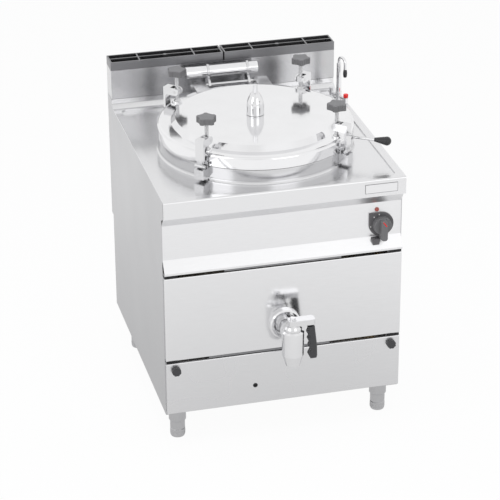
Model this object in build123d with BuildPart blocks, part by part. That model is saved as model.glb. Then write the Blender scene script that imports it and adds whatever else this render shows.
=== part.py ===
from build123d import *
import math
import os

os.makedirs("parts", exist_ok=True)

# Frame: the origin lies on the pan's vertical axis at floor level, -Y is the operator's side.

# --- cabinet ---
body_width = 800.0
body_depth = 900.0
worktop_height = 900.0
pan_to_front = 390.0
sheet = 2.0
fit_gap = 0.4
leg_height = 115.0
edge_round = 6.0

# --- front, from the worktop down ---
band_height = 60.0
cove_height = 38.0
cove_depth = 38.0
fascia_height = 120.0
apron_height = 46.0
apron_reach = 24.0
door_gap = 12.0
panel_gap = 10.0
lower_panel_height = 187.0
plinth_gap = 12.0
panel_return = 20.0
panel_inset = 2.0

# --- worktop pressing and rear ---
border_width = 26.0
well_depth = 4.0
well_corner = 16.0
flue_depth = 75.0
flue_top = 135.0
ledge_rise = 13.0
ledge_run = 17.0
rear_step_depth = 25.0
rear_step_height = 470.0

# --- pan and jacket ---
pan_radius = 300.0
pan_wall = 3.0
pan_floor = 470.0
collar_width = 20.0
collar_rise = 43.0
neck_rise = 5.0
jacket_space = 22.0
jacket_wall = 3.0
jacket_top = 862.0
jacket_bottom = 450.5
lagging = 15.0

# --- lid ---
lid_overhang = 3.0
skirt_height = 43.0
shoulder = 10.0
annulus_width = 36.0
crown_run = 15.0
crown_rise = 18.0
lid_wall = 2.5
gasket_thick = 2.6
gasket_width = 14.0

# --- clamps ---
clamp_angles = {"fl": 225.0, "fr": 315.0, "rr": 45.0, "rl": 135.0}
screw_inset = 20.0
screw_radius = 6.0
thread_gap = 0.08
foot_radius = 12.0
pivot_rise = 38.0
arm_width = 31.0
arm_plate = 4.5
arm_height = 25.0
leg_offset = 41.0
leg_thick = 8.0
trunnion_radius = 5.0
pin_radius = 5.0
pin_drop = 78.0
web_start = 20.0
nose_gap = 4.0
knob_radius = 33.0
knob_thick = 21.0
knob_rise = 97.0

# --- hinge ---
hinge_setback = 34.0
hinge_rise = 35.0
axle_radius = 6.0
knuckle_radius = 12.0
knuckle_length = 47.0
knuckle_spread = 110.0
bracket_plate = 8.0
bracket_spread = 70.0
tube_radius = 20.0
tube_back = 27.0
tube_up = 40.0
tube_left = 148.0
tube_right = 106.0

# --- drain tap ---
drain_height = 415.0
drain_radius = 25.0
drain_wall = 3.0
drain_bend = 32.0
valve_reach = 120.0
valve_radius = 37.0
outlet_radius = 24.5
outlet_bore = 20.0
plug_radius = 22.0
flange_radius = 52.0
flange_bore = 34.0
flange_reach = 15.0

# --- handles, taps and controls ---
handle_angle = -33.0
handle_radius = 5.0
handle_length = 84.0
grip_length = 56.0
grip_radius = 15.0
tap_inset = 20.0
tap_y = 305.0
tap_spread = 42.0
tap_angle = -71.0
knob_inset = 70.0
knob_drop = 78.0
pilot_inset = 85.0
pilot_drop = 25.0
pilot_radius = 7.5
igniter_left = 20.0
igniter_drop = 55.0
igniter_top = 27.0
igniter_base = 20.0
igniter_tall = 21.0
dial_radius = 41.5
cap_radius = 31.0
foot_inset_x = 50.0
foot_front = 94.0
foot_rear = 160.0
socket_radius = 29.0
toe_radius = 25.0

# --- derived places ---
half_width = body_width / 2
front_y = -pan_to_front
rear_y = body_depth - pan_to_front
step_y = rear_y - rear_step_depth
flue_y = rear_y - flue_depth
band_bottom = worktop_height - band_height
fascia_y = front_y + cove_depth
fascia_top = band_bottom - cove_height
fascia_bottom = fascia_top - fascia_height
apron_y = fascia_y - apron_reach
apron_bottom = fascia_bottom - apron_height
door_top = apron_bottom - door_gap
lower_bottom = leg_height + plinth_gap
lower_top = lower_bottom + lower_panel_height
door_bottom = lower_top + panel_gap
door_y = apron_y + 3.0
side_front = door_y + panel_return
well_floor = worktop_height - well_depth
collar_radius = pan_radius + pan_wall + collar_width
collar_top = worktop_height + collar_rise
lid_radius = collar_radius + lid_overhang
lid_bottom = collar_top + 2.0
annulus_z = lid_bottom + skirt_height
crown_z = annulus_z + crown_rise
annulus_inner = lid_radius - shoulder - annulus_width
crown_radius = annulus_inner - crown_run
jacket_radius = pan_radius + pan_wall + jacket_space + jacket_wall
screw_r = lid_radius - screw_inset
pivot_z = annulus_z + pivot_rise
leg_r = screw_r + leg_offset
pin_z = pivot_z - pin_drop
hinge_y = lid_radius + hinge_setback
hinge_z = collar_top + hinge_rise + 2.0
tube_y = hinge_y + tube_back
tube_z = hinge_z + tube_up
valve_y = front_y - valve_reach + valve_radius
tap_x = half_width - tap_inset
knob_x = half_width - knob_inset
knob_height = fascia_top - knob_drop
pilot_x = half_width - pilot_inset
pilot_z = fascia_top - pilot_drop
igniter_x = knob_x - igniter_left
igniter_z = knob_height - igniter_drop
igniter_face = apron_y + 4
foot_places = {
    "fl": (-half_width + foot_inset_x, front_y + foot_front),
    "fr": (half_width - foot_inset_x, front_y + foot_front),
    "rl": (-half_width + foot_inset_x, rear_y - foot_rear),
    "rr": (half_width - foot_inset_x, rear_y - foot_rear),
}


def save(part, name):
    part.label = name
    export_step(part, f"parts/{name}.step")


def radial_plane(angle):
    """Upright plane through the pan's axis: local x runs outwards, local y runs up."""
    c = math.cos(math.radians(angle))
    s = math.sin(math.radians(angle))
    return Plane(origin=(0, 0, 0), x_dir=(c, s, 0), z_dir=(s, -c, 0))


def around(angle, radius, height):
    """Level plane at a point on a circle round the pan's axis, local x runs outwards."""
    c = math.cos(math.radians(angle))
    s = math.sin(math.radians(angle))
    return Plane(origin=(radius * c, radius * s, height), x_dir=(c, s, 0), z_dir=(0, 0, 1))


# The worktop is one pressing: front band, sunk well, pan opening with its raised neck, rear ledge.
with BuildPart() as worktop:
    with BuildSketch(Plane.YZ):
        with BuildLine():
            Polyline(
                (front_y + 12, band_bottom),
                (front_y, band_bottom),
                (front_y, worktop_height),
                (flue_y - ledge_run, worktop_height),
                (flue_y + sheet, worktop_height + ledge_rise),
                (flue_y + sheet, worktop_height + ledge_rise + 16),
            )
            offset(amount=-sheet, side=Side.RIGHT)
        make_face()
    extrude(amount=half_width, both=True)
    nose = worktop.edges().filter_by(Axis.X).filter_by_position(Axis.Y, front_y - 0.1, front_y + 0.1)
    fillet(nose.sort_by(Axis.Z)[-1], edge_round)
    well_depth_y = flue_y - ledge_run - 14 - front_y - border_width
    well_mid_y = front_y + border_width + well_depth_y / 2
    with BuildSketch(Plane.XY.offset(well_floor - sheet)):
        with Locations((0, well_mid_y)):
            well_width = body_width - 2 * border_width
            RectangleRounded(well_width + 2 * sheet, well_depth_y + 2 * sheet, well_corner + sheet)
    extrude(amount=well_depth + sheet)
    with BuildSketch(Plane.XY.offset(well_floor)):
        with Locations((0, well_mid_y)):
            RectangleRounded(body_width - 2 * border_width, well_depth_y, well_corner)
    extrude(amount=well_depth, mode=Mode.SUBTRACT)
    with BuildSketch(Plane.XZ):
        with BuildLine():
            Polyline(
                (collar_radius + 14, well_floor - sheet),
                (collar_radius + 14, well_floor),
                (collar_radius + fit_gap + sheet + 4, well_floor),
                (collar_radius + fit_gap + sheet, well_floor + 4),
                (collar_radius + fit_gap + sheet, worktop_height + neck_rise),
                (collar_radius + fit_gap, worktop_height + neck_rise),
                (collar_radius + fit_gap, well_floor - sheet),
                close=True,
            )
        make_face()
    revolve(axis=Axis.Z)
    with BuildSketch(Plane.XY.offset(well_floor - 2 * sheet)):
        Circle(collar_radius + fit_gap)
    extrude(amount=body_depth / 10, mode=Mode.SUBTRACT)
save(worktop.part, "worktop")

# Side panels: flat sheet with a turned front edge, the rear edge set in below the flue box.
side_outline = [
    (side_front, leg_height),
    (step_y, leg_height),
    (step_y, rear_step_height),
    (rear_y, rear_step_height),
    (rear_y, worktop_height + ledge_rise + 16),
    (flue_y + 2 * sheet + 0.5, worktop_height + ledge_rise + 16),
    (flue_y + 2 * sheet + 0.5, worktop_height + ledge_rise - sheet),
    (flue_y - ledge_run + sheet, worktop_height - sheet),
    (front_y + edge_round, worktop_height - sheet),
    (front_y + edge_round, band_bottom + sheet),
    (front_y + 13, band_bottom + sheet),
    (front_y + 13, band_bottom - sheet),
    (side_front, fascia_top + 20),
]
flange_width = 46.0
thumb_x = half_width - 33
thumb_z = lower_top - 26
thumb_stud = 3.92
stud_gap = 0.08
for name, side in (("left_side_panel", -1), ("right_side_panel", 1)):
    with BuildPart() as side_panel:
        with BuildSketch(Plane.YZ.offset(side * half_width)):
            with BuildLine():
                Polyline(*side_outline, close=True)
            make_face()
        extrude(amount=-side * sheet)
        with BuildSketch(Plane.XY.offset(leg_height)):
            with Locations((side * (half_width - flange_width / 2), side_front + sheet / 2)):
                Rectangle(flange_width, sheet)
        extrude(amount=apron_bottom - 4 - leg_height)
        with BuildSketch(Plane.XZ.offset(-side_front)):
            with Locations((side * thumb_x, thumb_z)):
                Circle(thumb_stud + stud_gap)
        extrude(amount=2 * sheet, both=True, mode=Mode.SUBTRACT)
    save(side_panel.part, name)

# Back: upper sheet on the rear line, lower sheet on the inset line, joined by a shelf.
back_half = half_width - sheet - fit_gap
with BuildPart() as back_panel:
    with BuildSketch(Plane.YZ):
        with BuildLine():
            Polyline(
                (step_y, leg_height),
                (step_y, rear_step_height),
                (rear_y, rear_step_height),
                (rear_y, worktop_height + 20),
            )
            offset(amount=-sheet, side=Side.LEFT)
        make_face()
    extrude(amount=back_half, both=True)
    with BuildSketch(Plane.XZ.offset(-step_y)):
        with Locations((half_width - 70, 300), (half_width - 130, 220), (half_width - 130, 260)):
            Circle(13)
    extrude(amount=2 * sheet, both=True, mode=Mode.SUBTRACT)
    with BuildSketch(Plane.XZ.offset(-rear_y)):
        with GridLocations(46, 14, 9, 4):
            with Locations((0, 640)):
                SlotOverall(34, 6)
    extrude(amount=2 * sheet, both=True, mode=Mode.SUBTRACT)
save(back_panel.part, "back_panel")

# Base frame: rim channel with two cross rails and corner plates for the legs.
frame_y0 = side_front + 2 * sheet
frame_y1 = step_y - 2 * sheet
rail = 60.0
with BuildPart() as base_frame:
    with BuildSketch(Plane.XY.offset(leg_height)):
        with Locations((0, (frame_y0 + frame_y1) / 2)):
            Rectangle(2 * back_half, frame_y1 - frame_y0)
            Rectangle(2 * back_half - 2 * rail, frame_y1 - frame_y0 - 2 * rail, mode=Mode.SUBTRACT)
        for x, y in foot_places.values():
            with Locations((x, y)):
                Rectangle(2 * foot_inset_x - 8, 90)
        frame_mid_y = (frame_y0 + frame_y1) / 2
        with Locations((-back_half / 3, frame_mid_y), (back_half / 3, frame_mid_y)):
            Rectangle(rail, frame_y1 - frame_y0)
    extrude(amount=3)
    with BuildSketch(Plane.XY.offset(leg_height)):
        with Locations((0, (frame_y0 + frame_y1) / 2)):
            Rectangle(2 * back_half, frame_y1 - frame_y0)
            Rectangle(2 * back_half - 6, frame_y1 - frame_y0 - 6, mode=Mode.SUBTRACT)
    extrude(amount=plinth_gap + 20)
save(base_frame.part, "base_frame")



def wedge(margin):
    """Outline of the igniter button: wider at the top than at the foot."""
    with BuildSketch() as outline:
        with BuildLine():
            Polyline(
                (igniter_x - igniter_top / 2 - margin, igniter_z + igniter_tall / 2 + margin),
                (igniter_x + igniter_top / 2 + margin, igniter_z + igniter_tall / 2 + margin),
                (igniter_x + igniter_base / 2 + margin, igniter_z - igniter_tall / 2 - margin),
                (igniter_x - igniter_base / 2 - margin, igniter_z - igniter_tall / 2 - margin),
                close=True,
            )
        make_face()
    return outline.sketch


# Fascia: cove under the band, upright control strip, apron that leans out and turns back.
with BuildPart() as control_fascia:
    with BuildSketch(Plane.YZ):
        with BuildLine():
            Polyline(
                (front_y + 14, band_bottom + 8),
                (front_y + 14, band_bottom - 2),
                (fascia_y, fascia_top),
                (fascia_y, fascia_bottom),
                (apron_y, apron_bottom + 7),
                (apron_y, apron_bottom),
                (side_front + 4, apron_bottom),
            )
            offset(amount=1.5, side=Side.LEFT)
        make_face()
    extrude(amount=half_width - panel_inset, both=True)
    with BuildSketch(Plane.XZ.offset(-fascia_y)):
        with Locations((knob_x, knob_height)):
            Circle(8)
        with Locations((pilot_x, pilot_z)):
            Circle(pilot_radius - 1.9)
    extrude(amount=10, both=True, mode=Mode.SUBTRACT)
    with BuildSketch(Plane.XZ.offset(-igniter_face)):
        add(wedge(0.6))
    extrude(amount=-24, mode=Mode.SUBTRACT)
save(control_fascia.part, "control_fascia")


def folded_front(bottom, top):
    """A front panel folded back on all four sides, open behind."""
    width = 2 * (half_width - panel_inset)
    with BuildPart() as panel:
        with BuildSketch(Plane.XZ.offset(-door_y)):
            with Locations((0, (bottom + top) / 2)):
                Rectangle(width, top - bottom)
        extrude(amount=-panel_return)
        rim = panel.edges().filter_by_position(Axis.Y, door_y - 0.1, door_y + 0.1)
        fillet(rim, 3)
        with BuildSketch(Plane.XZ.offset(-door_y - 1.5)):
            with Locations((0, (bottom + top) / 2)):
                Rectangle(width - 3, top - bottom - 3)
        extrude(amount=-panel_return, mode=Mode.SUBTRACT)
    return panel.part


with BuildPart() as front_panel:
    add(folded_front(door_bottom, door_top))
    with BuildSketch(Plane.XZ.offset(-door_y)):
        with Locations((0, drain_height)):
            Circle(flange_bore)
    extrude(amount=10, both=True, mode=Mode.SUBTRACT)
save(front_panel.part, "front_panel")

with BuildPart() as lower_panel:
    add(folded_front(lower_bottom, lower_top))
    with BuildSketch(Plane.XZ.offset(-door_y)):
        with Locations((-thumb_x, thumb_z), (thumb_x, thumb_z)):
            Circle(thumb_stud + stud_gap)
        with Locations((-100, lower_bottom + 68)):
            Circle(5.5)
    extrude(amount=10, both=True, mode=Mode.SUBTRACT)
save(lower_panel.part, "lower_panel")

# Flue box behind the worktop, open below to the duct and above to the grilles.
flue_head = worktop_height + flue_top
flue_foot = worktop_height + ledge_rise + 18
duct_width = 300.0
duct_depth = 32.0
duct_back = step_y - 2 * sheet - 6
with BuildPart() as flue_upstand:
    with BuildSketch(Plane.XY.offset(flue_foot)):
        with Locations((0, (flue_y + rear_y) / 2)):
            Rectangle(body_width, flue_depth)
            Rectangle(body_width - 2 * sheet, flue_depth - 2 * sheet, mode=Mode.SUBTRACT)
    extrude(amount=flue_head - flue_foot)
    with BuildSketch(Plane.XY.offset(flue_foot)):
        with Locations((0, (flue_y + rear_y) / 2 + 2 * sheet)):
            Rectangle(body_width - 2, flue_depth - 4 * sheet - 6)
        with Locations((0, duct_back - duct_depth / 2)):
            Rectangle(duct_width, duct_depth - 2 * sheet, mode=Mode.SUBTRACT)
    extrude(amount=sheet)
save(flue_upstand.part, "flue_upstand")

# Flue grilles: two open frames, each with two rows of long slots round a middle bar with bosses.
grille_height = 30.0
grille_gap = 5.0
grille_length = half_width - grille_gap / 2
slot_rim = 5.0
rib = 5.0
rib_shares = (0.26, 0.75)
with BuildPart() as flue_grilles:
    for side in (-1, 1):
        middle = side * (half_width + grille_gap / 2) / 2
        with BuildSketch(Plane.XY.offset(flue_head)):
            with Locations((middle, (flue_y + rear_y) / 2)):
                Rectangle(grille_length, flue_depth)
                Rectangle(grille_length - 4, flue_depth - 4, mode=Mode.SUBTRACT)
        extrude(amount=grille_height)
        with BuildSketch(Plane.XY.offset(flue_head + grille_height - 4)):
            with Locations((middle, (flue_y + rear_y) / 2)):
                Rectangle(grille_length, flue_depth)
                Rectangle(grille_length - 2 * slot_rim, flue_depth - 2 * slot_rim, mode=Mode.SUBTRACT)
                Rectangle(grille_length, rib)
            left_end = middle - grille_length / 2
            for share in rib_shares:
                with Locations((left_end + share * grille_length, (flue_y + rear_y) / 2)):
                    Rectangle(rib, flue_depth)
        extrude(amount=4)
        with BuildSketch(Plane.XY.offset(flue_head + grille_height - 6)):
            with Locations((middle, (flue_y + rear_y) / 2)):
                Circle(7)
        extrude(amount=6)
save(flue_grilles.part, "flue_grilles")

# Pan: dished floor with a drain hole, straight wall, top rim turned out and down as the collar.
bowl = 34.0
floor_r = pan_radius - bowl
with BuildPart() as kettle_pan:
    with BuildSketch(Plane.XZ):
        with BuildLine():
            Polyline(
                (outlet_bore, pan_floor),
                (floor_r, pan_floor + 10),
                (pan_radius, pan_floor + 10 + bowl),
                (pan_radius, collar_top),
                (collar_radius, collar_top),
                (collar_radius, jacket_top + 16),
            )
            offset(amount=pan_wall, side=Side.RIGHT)
        make_face()
    revolve(axis=Axis.Z)
    circles = kettle_pan.edges().filter_by(GeomType.CIRCLE)
    corner = circles.filter_by_position(Axis.Z, collar_top - 0.1, collar_top + 0.1)
    fillet(corner, 2)
save(kettle_pan.part, "kettle_pan")

# Catch lugs stand off the collar: two cheeks with an outward jaw, tied by a slotted face plate.
lug_width = 35.0
lug_cheek = 6.0
nose_tip = leg_r - pin_radius - nose_gap
lug_outer = leg_r + leg_thick + 2
lug_foot = worktop_height + neck_rise + 0.5
lug_face_top = pin_z - pin_radius - 5
with BuildPart() as catch_lugs:
    for angle in clamp_angles.values():
        for shift in (-1, 1):
            cheek_plane = radial_plane(angle).offset(shift * (lug_width - lug_cheek) / 2)
            with BuildSketch(cheek_plane):
                with BuildLine():
                    Polyline(
                        (collar_radius, lug_foot),
                        (lug_outer, lug_foot),
                        (lug_outer, lug_face_top),
                        (collar_radius + 10, lug_face_top),
                        (collar_radius + 10, pin_z + pin_radius + 2),
                        (nose_tip, pin_z + pin_radius + 2),
                        (nose_tip, pin_z + pin_radius + 8),
                        (lid_radius + 2, pin_z + pin_radius + 8),
                        (lid_radius + 2, lid_bottom - 4),
                        (collar_radius, lid_bottom - 8),
                        close=True,
                    )
                make_face()
            extrude(amount=lug_cheek / 2, both=True)
        with BuildSketch(around(angle, lug_outer - 2, lug_foot)):
            Rectangle(4, lug_width)
        extrude(amount=lug_face_top - lug_foot)
        slot_plane = Plane(radial_plane(angle).origin, radial_plane(angle).z_dir, around(angle, 1, 0).x_dir)
        with BuildSketch(slot_plane.offset(lug_outer)):
            with Locations((0, lug_foot + 20)):
                SlotOverall(16, 6)
        extrude(amount=-4, mode=Mode.SUBTRACT)
save(catch_lugs.part, "catch_lugs")

# Steam jacket round the lower pan, welded to it at its top ring.
with BuildPart() as steam_jacket:
    with BuildSketch(Plane.XZ):
        with BuildLine():
            Polyline(
                (pan_radius + pan_wall, jacket_top),
                (jacket_radius, jacket_top),
                (jacket_radius, jacket_bottom + 40),
                (jacket_radius - 34, jacket_bottom),
                (drain_radius + 0.3, jacket_bottom),
            )
            offset(amount=jacket_wall, side=Side.RIGHT)
        make_face()
    revolve(axis=Axis.Z)
save(steam_jacket.part, "steam_jacket")

with BuildPart() as jacket_lagging:
    with BuildSketch(Plane.XY.offset(jacket_bottom + 42)):
        Circle(jacket_radius + lagging)
        Circle(jacket_radius, mode=Mode.SUBTRACT)
    extrude(amount=jacket_top - jacket_bottom - 50)
save(jacket_lagging.part, "jacket_lagging")

# Ring burner under the jacket.
burner_radius = 150.0
burner_tube = 12.0
burner_z = jacket_bottom - 105
with BuildPart() as burner:
    with BuildSketch(Plane.XZ):
        with Locations((burner_radius, burner_z)):
            Rectangle(2 * burner_tube, 2 * burner_tube)
    revolve(axis=Axis.Z)
    with BuildSketch(Plane.YZ.offset(-burner_radius)):
        with Locations((0, burner_z)):
            Circle(burner_tube * 0.8)
    extrude(amount=2 * burner_radius)
save(burner.part, "burner")

# Combustion drum, open below, with the duct that carries the burnt gas up to the flue box.
drum_radius = jacket_radius - 58.0
drum_foot = jacket_bottom - 150
feed_start = (knob_x, fascia_y + 37)
feed_end = (burner_radius * 0.775, -burner_radius * 0.775)
with BuildPart() as combustion_chamber:
    with BuildSketch(Plane.XY.offset(drum_foot)):
        Circle(drum_radius)
    extrude(amount=jacket_bottom - drum_foot)
    with BuildSketch(Plane.XY.offset(drum_foot + 40)):
        with Locations((0, duct_back / 2)):
            Rectangle(duct_width, duct_back)
    extrude(amount=60)
    with BuildSketch(Plane.XY.offset(drum_foot + 40)):
        with Locations((0, duct_back - duct_depth / 2)):
            Rectangle(duct_width, duct_depth)
    extrude(amount=flue_foot - drum_foot - 42)
    with BuildSketch(Plane.XY.offset(drum_foot)):
        Circle(drum_radius - sheet)
    extrude(amount=jacket_bottom - drum_foot, mode=Mode.SUBTRACT)
    with BuildSketch(Plane.XY.offset(drum_foot + 42)):
        with Locations((0, duct_back / 2 - 1)):
            Rectangle(duct_width - 4, duct_back - 2)
    extrude(amount=56, mode=Mode.SUBTRACT)
    with BuildSketch(Plane.XY.offset(drum_foot + 42)):
        with Locations((0, duct_back - duct_depth / 2)):
            Rectangle(duct_width - 4, duct_depth - 4)
    extrude(amount=flue_foot - drum_foot, mode=Mode.SUBTRACT)
    with BuildSketch(Plane.XZ):
        with Locations((0, drain_height)):
            Circle(drain_radius + 2)
    extrude(amount=drum_radius + 5, mode=Mode.SUBTRACT)
    feed_way = Vector(feed_start[0] - feed_end[0], feed_start[1] - feed_end[1], 0)
    with BuildSketch(Plane(origin=(*feed_end, burner_z), z_dir=feed_way)):
        Circle(9)
    extrude(amount=180, mode=Mode.SUBTRACT)
save(combustion_chamber.part, "combustion_chamber")

# Drain: stub under the pan, bend, straight run through the front panel to the draw-off valve.
pipe_top = pan_floor - pan_wall - 0.05
with BuildPart() as drain_pipe:
    with BuildLine() as drain_path:
        FilletPolyline(
            (0, 0, pipe_top),
            (0, 0, drain_height),
            (0, valve_y + valve_radius - 6, drain_height),
            radius=drain_bend,
        )
    with BuildSketch(Plane.XY.offset(pipe_top)):
        Circle(drain_radius)
        Circle(drain_radius - drain_wall, mode=Mode.SUBTRACT)
    sweep(path=drain_path.line)
save(drain_pipe.part, "drain_pipe")

# Domed ring round the pipe where it leaves the panel.
with BuildPart() as drain_flange:
    with BuildSketch(Plane(origin=(0, 0, drain_height), x_dir=(0, 1, 0), z_dir=(1, 0, 0))):
        with BuildLine():
            Polyline(
                (door_y - 0.2, flange_radius),
                (door_y - flange_reach + 4, flange_radius),
                (door_y - flange_reach, flange_radius - 5),
                (door_y - flange_reach, flange_bore + 5),
                (door_y - flange_reach + 5, flange_bore),
                (door_y - 0.2, flange_bore),
                (door_y - 0.2, flange_bore + 2),
                (door_y - flange_reach + 6, flange_bore + 2),
                (door_y - flange_reach + 2, flange_bore + 6),
                (door_y - flange_reach + 2, flange_radius - 6),
                (door_y - flange_reach + 5, flange_radius - 2),
                (door_y - 0.2, flange_radius - 2),
                close=True,
            )
        make_face()
    revolve(axis=Axis((0, 0, drain_height), (0, 1, 0)))
save(drain_flange.part, "drain_flange")

# Draw-off valve: upright body with a side socket, tapering to the spout, plug bore from the top.
valve_foot = drain_height - 100
valve_taper = drain_height - 62
valve_head = drain_height + 26
plug_foot = valve_taper + 8
plug_gap = 0.06
plug_bore = 16.0
plug_port = 14.0
valve_axis = Plane((0, valve_y, 0), x_dir=(1, 0, 0), z_dir=(0, -1, 0))
with BuildPart() as drain_valve_body:
    with BuildSketch(valve_axis):
        with BuildLine():
            Polyline(
                (0, valve_foot),
                (outlet_radius, valve_foot),
                (valve_radius - 1, valve_taper),
                (valve_radius, valve_head - 6),
                (valve_radius - 6, valve_head),
                (0, valve_head),
                close=True,
            )
        make_face()
    revolve(axis=Axis((0, valve_y, 0), (0, 0, 1)))
    with BuildSketch(Plane.XZ.offset(-valve_y - valve_radius + 5)):
        with Locations((0, drain_height)):
            Circle(drain_radius + 5)
    extrude(amount=-17)
    for foot_z, bore, tall in ((plug_foot, plug_radius + plug_gap, 90), (valve_foot, outlet_bore, 40)):
        with BuildSketch(Plane.XY.offset(foot_z)):
            with Locations((0, valve_y)):
                Circle(bore)
        extrude(amount=tall, mode=Mode.SUBTRACT)
    for start, bore in ((0, plug_port), (valve_radius - 6, drain_radius + 0.02)):
        with BuildSketch(Plane.XZ.offset(-valve_y - start)):
            with Locations((0, drain_height)):
                Circle(bore)
        extrude(amount=-60, mode=Mode.SUBTRACT)
save(drain_valve_body.part, "drain_valve_body")

# Plug with its cap nut and the lever that crosses it; the port turns from side to front.
cap_foot = valve_head + 0.3
cap_top = cap_foot + 30
lever_right = 72.0
lever_left = 16.0
lever_width = 34.0
lever_thick = 6.0
lever_side = 19.0
with BuildPart() as drain_lever:
    with BuildSketch(valve_axis):
        with BuildLine():
            Polyline(
                (0, plug_foot + 0.3),
                (plug_radius - 1, plug_foot + 0.3),
                (plug_radius, plug_foot + 2),
                (plug_radius, cap_foot),
                (valve_radius - 7, cap_foot),
                (valve_radius - 7, cap_foot + 8),
                (valve_radius - 12, cap_foot + 16),
                (14, cap_foot + 22),
                (14, cap_top),
                (0, cap_top),
                close=True,
            )
        make_face()
    revolve(axis=Axis((0, valve_y, 0), (0, 0, 1)))
    with BuildSketch(Plane.XY.offset(plug_foot)):
        with Locations((0, valve_y)):
            Circle(plug_bore)
    extrude(amount=drain_height + plug_bore - plug_foot, mode=Mode.SUBTRACT)
    with BuildSketch(Plane.YZ):
        with Locations((valve_y, drain_height)):
            Circle(plug_port)
    extrude(amount=-plug_radius - 5, mode=Mode.SUBTRACT)
    with BuildSketch(Plane.XY.offset(cap_top - lever_side + lever_thick)):
        with Locations(((lever_right - lever_left) / 2, valve_y)):
            RectangleRounded(lever_right + lever_left, lever_width, 9)
    extrude(amount=lever_side)
    with BuildSketch(Plane.XY.offset(cap_top - lever_side + lever_thick)):
        with Locations(((lever_right + valve_radius - 6) / 2, valve_y)):
            Rectangle(lever_right - valve_radius, lever_width - 8)
    extrude(amount=lever_side - 5, mode=Mode.SUBTRACT)
save(drain_lever.part, "drain_lever")

# Moulded grip hanging from the lever's end, with finger waves on the side of the valve.
grip_in = 47.0
grip_out = 71.0
grip_top = cap_top - 22
grip_foot = grip_top - 116
grip_width = 25.0
with BuildPart() as drain_grip:
    with BuildSketch(Plane.XZ.offset(-valve_y)):
        with BuildLine():
            inner = [(grip_in, grip_top)]
            for step in range(1, 9):
                wave = 2.6 if step % 2 else -2.6
                inner.append((grip_in + 1.2 * step + wave, grip_top - 12 * step))
            inner.append((grip_in + 4, grip_foot + 12))
            Spline(*inner)
            Polyline(
                (grip_in + 4, grip_foot + 12),
                (grip_in + 10, grip_foot),
                (grip_out + 5, grip_foot),
                (grip_out + 9, grip_foot + 8),
                (grip_out + 8, grip_foot + 46),
                (grip_out, grip_top),
                (grip_in, grip_top),
            )
        make_face()
    extrude(amount=grip_width / 2, both=True)
    with BuildSketch(Plane.XY.offset(grip_top)):
        with Locations(((grip_in + grip_out) / 2 - 2, valve_y)):
            Rectangle(14, 14)
    extrude(amount=cap_top + lever_thick - 5.1 - grip_top)
    sides = drain_grip.faces().filter_by(Axis.Y)
    chamfer(sides.sort_by(SortBy.AREA)[-2:].edges().filter_by(lambda e: e.length > 30), 3)
save(drain_grip.part, "drain_grip")

# Lid: turned rim, rounded shoulder, clamp track, step up to the flat crown with the valve seat.
bell_radius = 29.0
bell_height = 74.0
bell_lift = 6.0
stem_radius = 6.0
with BuildPart() as lid_shell:
    with BuildSketch(Plane.XZ):
        with BuildLine():
            Polyline(
                (lid_radius - gasket_width - 12, lid_bottom + 1),
                (lid_radius, lid_bottom + 1),
                (lid_radius, annulus_z),
                (annulus_inner, annulus_z),
                (crown_radius, crown_z),
                (0, crown_z),
            )
            offset(amount=lid_wall, side=Side.LEFT)
        make_face()
    revolve(axis=Axis.Z)
    circles = lid_shell.edges().filter_by(GeomType.CIRCLE)
    rim = circles.filter_by_position(Axis.Z, annulus_z - 0.1, annulus_z + 0.1)
    fillet(rim.sort_by(SortBy.RADIUS)[-1], shoulder)
    for angle in clamp_angles.values():
        with BuildSketch(around(angle, screw_r, annulus_z - 1)):
            Circle(foot_radius + 4)
            Circle(foot_radius + 0.4, mode=Mode.SUBTRACT)
        extrude(amount=6)
    with BuildSketch(Plane.XZ):
        with BuildLine():
            Polyline(
                (0, crown_z - 14),
                (14, crown_z - 14),
                (14, crown_z),
                (20, crown_z),
                (20, crown_z + 7),
                (stem_radius, crown_z + 12),
                (stem_radius, crown_z + 46),
                (0, crown_z + 46),
                close=True,
            )
        make_face()
    revolve(axis=Axis.Z)
    with BuildSketch(Plane.XY.offset(crown_z - 14)):
        Circle(2)
    extrude(amount=60, mode=Mode.SUBTRACT)
save(lid_shell.part, "lid_shell")

with BuildPart() as lid_gasket:
    with BuildSketch(Plane.XY.offset(lid_bottom + 1 - gasket_thick)):
        Circle(collar_radius - 2)
        Circle(collar_radius - 2 - gasket_width, mode=Mode.SUBTRACT)
    extrude(amount=gasket_thick)
save(lid_gasket.part, "lid_gasket")

# Safety valve: a weighted bell that lifts on the hollow stem of the seat in the crown.
with BuildPart() as safety_valve_bell:
    with BuildSketch(Plane.XZ):
        with BuildLine():
            Line((bell_radius - 3, crown_z + 1), (bell_radius, crown_z + 1))
            Line((bell_radius, crown_z + 1), (bell_radius, crown_z + 26))
            ThreePointArc(
                (bell_radius, crown_z + 26),
                (bell_radius - 3.5, crown_z + 51),
                (bell_radius - 15, crown_z + bell_height),
            )
            Polyline(
                (bell_radius - 15, crown_z + bell_height),
                (8, crown_z + bell_height + 3),
                (8, crown_z + bell_height + 27),
                (6, crown_z + bell_height + 29),
                (0, crown_z + bell_height + 29),
                (0, crown_z + 46 + bell_lift + 3),
                (stem_radius + 0.06, crown_z + 46 + bell_lift + 3),
                (stem_radius + 0.06, crown_z + 14),
                (bell_radius - 3, crown_z + 14),
                (bell_radius - 3, crown_z + 1),
            )
        make_face()
    revolve(axis=Axis.Z)
save(safety_valve_bell.part, "safety_valve_bell")

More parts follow.
